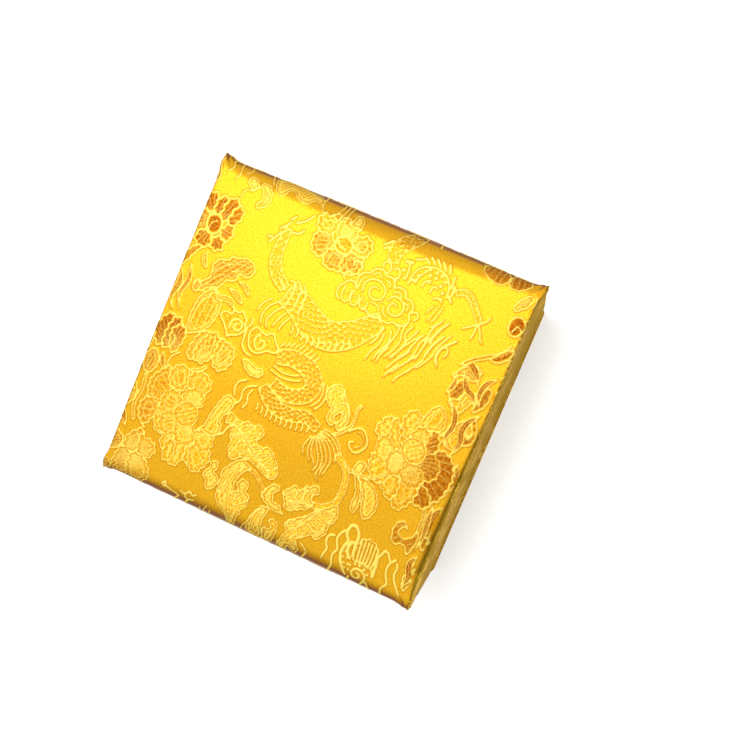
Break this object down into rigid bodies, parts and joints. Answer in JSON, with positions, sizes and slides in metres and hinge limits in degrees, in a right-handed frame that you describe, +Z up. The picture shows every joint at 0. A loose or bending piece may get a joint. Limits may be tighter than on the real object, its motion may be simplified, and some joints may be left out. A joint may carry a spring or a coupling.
{
  "type": "padded brocade keepsake box",
  "caption": "Square padded gift box covered in woven brocade, with a deep hinged lid that swings back from a flat base board carrying a satin-lined tray.",
  "frame": {"origin": "on the table under the middle of the box", "axes": "+Z up, +Y towards the hinge at the back, +X along the hinge to the right"},
  "size_m": [0.13, 0.1288, 0.054],
  "materials": {
    "brocade": "satin",
    "satin": "satin",
    "foam": "matte",
    "greyboard": "matte",
    "backing_paper": "matte"
  },
  "bodies": {
    "base": {"base_board": "greyboard", "base_cloth": "brocade", "base_backing_paper": "backing_paper", "tray_wall_front": "greyboard", "tray_wall_back": "greyboard", "tray_wall_left": "greyboard", "tray_wall_right": "greyboard", "tray_cover": "brocade", "tray_lining": "satin", "floor_pad_board": "greyboard", "floor_pad_foam": "foam", "floor_pad_satin": "satin", "hinge_cloth": "brocade", "hinge_lining": "satin"},
    "lid": {"lid_board": "greyboard", "lid_wall_front": "greyboard", "lid_wall_back": "greyboard", "lid_wall_left": "greyboard", "lid_wall_right": "greyboard", "lid_foam_top": "foam", "lid_foam_front": "foam", "lid_foam_back": "foam", "lid_brocade": "brocade", "lid_wall_lining": "satin", "lid_pad_board": "greyboard", "lid_pad_foam": "foam", "lid_pad_satin": "satin"}
  },
  "joints": [
    {"name": "lid_hinge", "type": "hinge", "parent": "base", "child": "lid", "pos_m": [0, 0.0582, 0.0042], "axis": [-1, 0, 0], "range_deg": [0, 86]}
  ]
}
